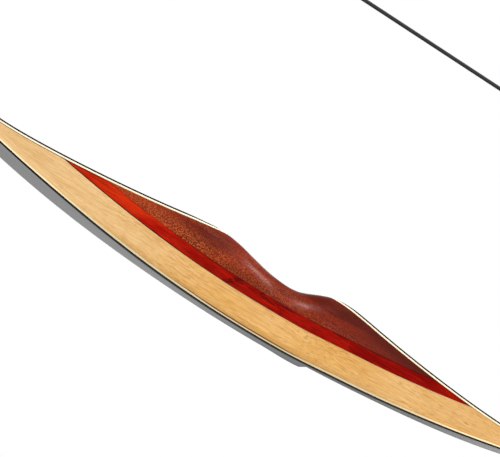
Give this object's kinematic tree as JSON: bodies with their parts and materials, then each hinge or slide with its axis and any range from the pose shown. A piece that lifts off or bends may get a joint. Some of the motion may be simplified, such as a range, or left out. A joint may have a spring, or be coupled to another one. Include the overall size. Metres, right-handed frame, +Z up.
{
  "type": "recurve bow",
  "caption": "Strung one-piece laminated recurve bow with a sculpted grip, arrow shelf and sight window, whose limbs flex as its string is drawn.",
  "frame": {"origin": "throat of the grip, on the middle plane of the bow, where the web of the bow hand bears", "axes": "+Z up the bow towards the upper limb, parallel to the string; +Y towards the target, so the back faces +Y and the string lies at -Y; +X to the archer's right"},
  "size_m": [0.04, 0.247, 1.5426],
  "materials": {
    "beech": "clear gloss",
    "red_wood": "clear gloss",
    "grip_wood": "clear gloss",
    "overlay_wood": "clear gloss",
    "tan_core": "clear gloss",
    "cream_core": "clear gloss",
    "black_glass": "clear gloss",
    "hide": "suede",
    "serving_thread": "waxed",
    "strands": "waxed"
  },
  "bodies": {
    "riser": {"front_block": "beech", "red_lamination": "red_wood", "grip_block": "grip_wood", "riser_back_glass": "black_glass", "riser_back_core": "cream_core", "riser_middle_core": "tan_core", "upper_ramp_core": "cream_core", "upper_ramp_glass": "black_glass", "lower_ramp_core": "cream_core", "lower_ramp_glass": "black_glass", "shelf_pad": "hide", "strike_plate": "hide"},
    "upper_limb": {"upper_back_glass": "black_glass", "upper_back_core": "cream_core", "upper_middle_core": "tan_core", "upper_belly_core": "cream_core", "upper_belly_glass": "black_glass", "upper_tip_underlay": "cream_core", "upper_tip_overlay": "overlay_wood", "upper_nock_loop": "strands"},
    "upper_loop": {"upper_loop_legs": "strands", "upper_tip_strands": "strands", "upper_tip_serving": "serving_thread"},
    "upper_string": {"upper_strands": "strands", "upper_centre_serving": "serving_thread", "upper_end_serving": "serving_thread", "upper_nocking_strands": "strands", "upper_nocking_serving": "serving_thread"},
    "lower_limb": {"lower_back_glass": "black_glass", "lower_back_core": "cream_core", "lower_middle_core": "tan_core", "lower_belly_core": "cream_core", "lower_belly_glass": "black_glass", "lower_tip_underlay": "cream_core", "lower_tip_overlay": "overlay_wood", "lower_nock_loop": "strands"},
    "lower_loop": {"lower_loop_legs": "strands", "lower_tip_strands": "strands", "lower_tip_serving": "serving_thread"},
    "lower_string": {"lower_strands": "strands", "lower_centre_serving": "serving_thread", "lower_end_serving": "serving_thread", "lower_nocking_strands": "strands", "lower_nocking_serving": "serving_thread"}
  },
  "joints": [
    {"name": "upper_limb_flex", "type": "hinge", "parent": "riser", "child": "upper_limb", "pos_m": [0, -0.03465, 0.33647], "axis": [1, 0, 0], "range_deg": [0, 21.64], "stiffness_Nm_per_rad": 350},
    {"name": "lower_limb_flex", "type": "hinge", "parent": "riser", "child": "lower_limb", "pos_m": [0, -0.03465, -0.36447], "axis": [-1, 0, 0], "range_deg": [0, 19.69], "stiffness_Nm_per_rad": 400},
    {"name": "upper_loop_swing", "type": "hinge", "parent": "upper_limb", "child": "upper_loop", "pos_m": [0, -0.196, 0.73359], "axis": [-1, 0, 0], "range_deg": [0, 44.04]},
    {"name": "upper_string_lift", "type": "hinge", "parent": "upper_loop", "child": "upper_string", "pos_m": [0, -0.203, 0.676], "axis": [-1, 0, 0], "range_deg": [0, 6.94], "deforming": ["upper_nocking_strands", "upper_nocking_serving"]},
    {"name": "lower_loop_swing", "type": "hinge", "parent": "lower_limb", "child": "lower_loop", "pos_m": [0, -0.196, -0.76159], "axis": [1, 0, 0], "range_deg": [0, 38.1]},
    {"name": "lower_string_lift", "type": "hinge", "parent": "lower_loop", "child": "lower_string", "pos_m": [0, -0.203, -0.704], "axis": [1, 0, 0], "range_deg": [0, 6.94], "deforming": ["lower_nocking_strands", "lower_nocking_serving"]}
  ],
  "couplings": [
    {"joint": "lower_limb_flex", "follows": "upper_limb_flex", "ratio": 0.90954},
    {"joint": "upper_loop_swing", "follows": "upper_limb_flex", "ratio": 2.035},
    {"joint": "upper_string_lift", "follows": "upper_limb_flex", "ratio": 0.32033},
    {"joint": "lower_loop_swing", "follows": "upper_limb_flex", "ratio": 1.7606},
    {"joint": "lower_string_lift", "follows": "upper_limb_flex", "ratio": 0.32033}
  ]
}
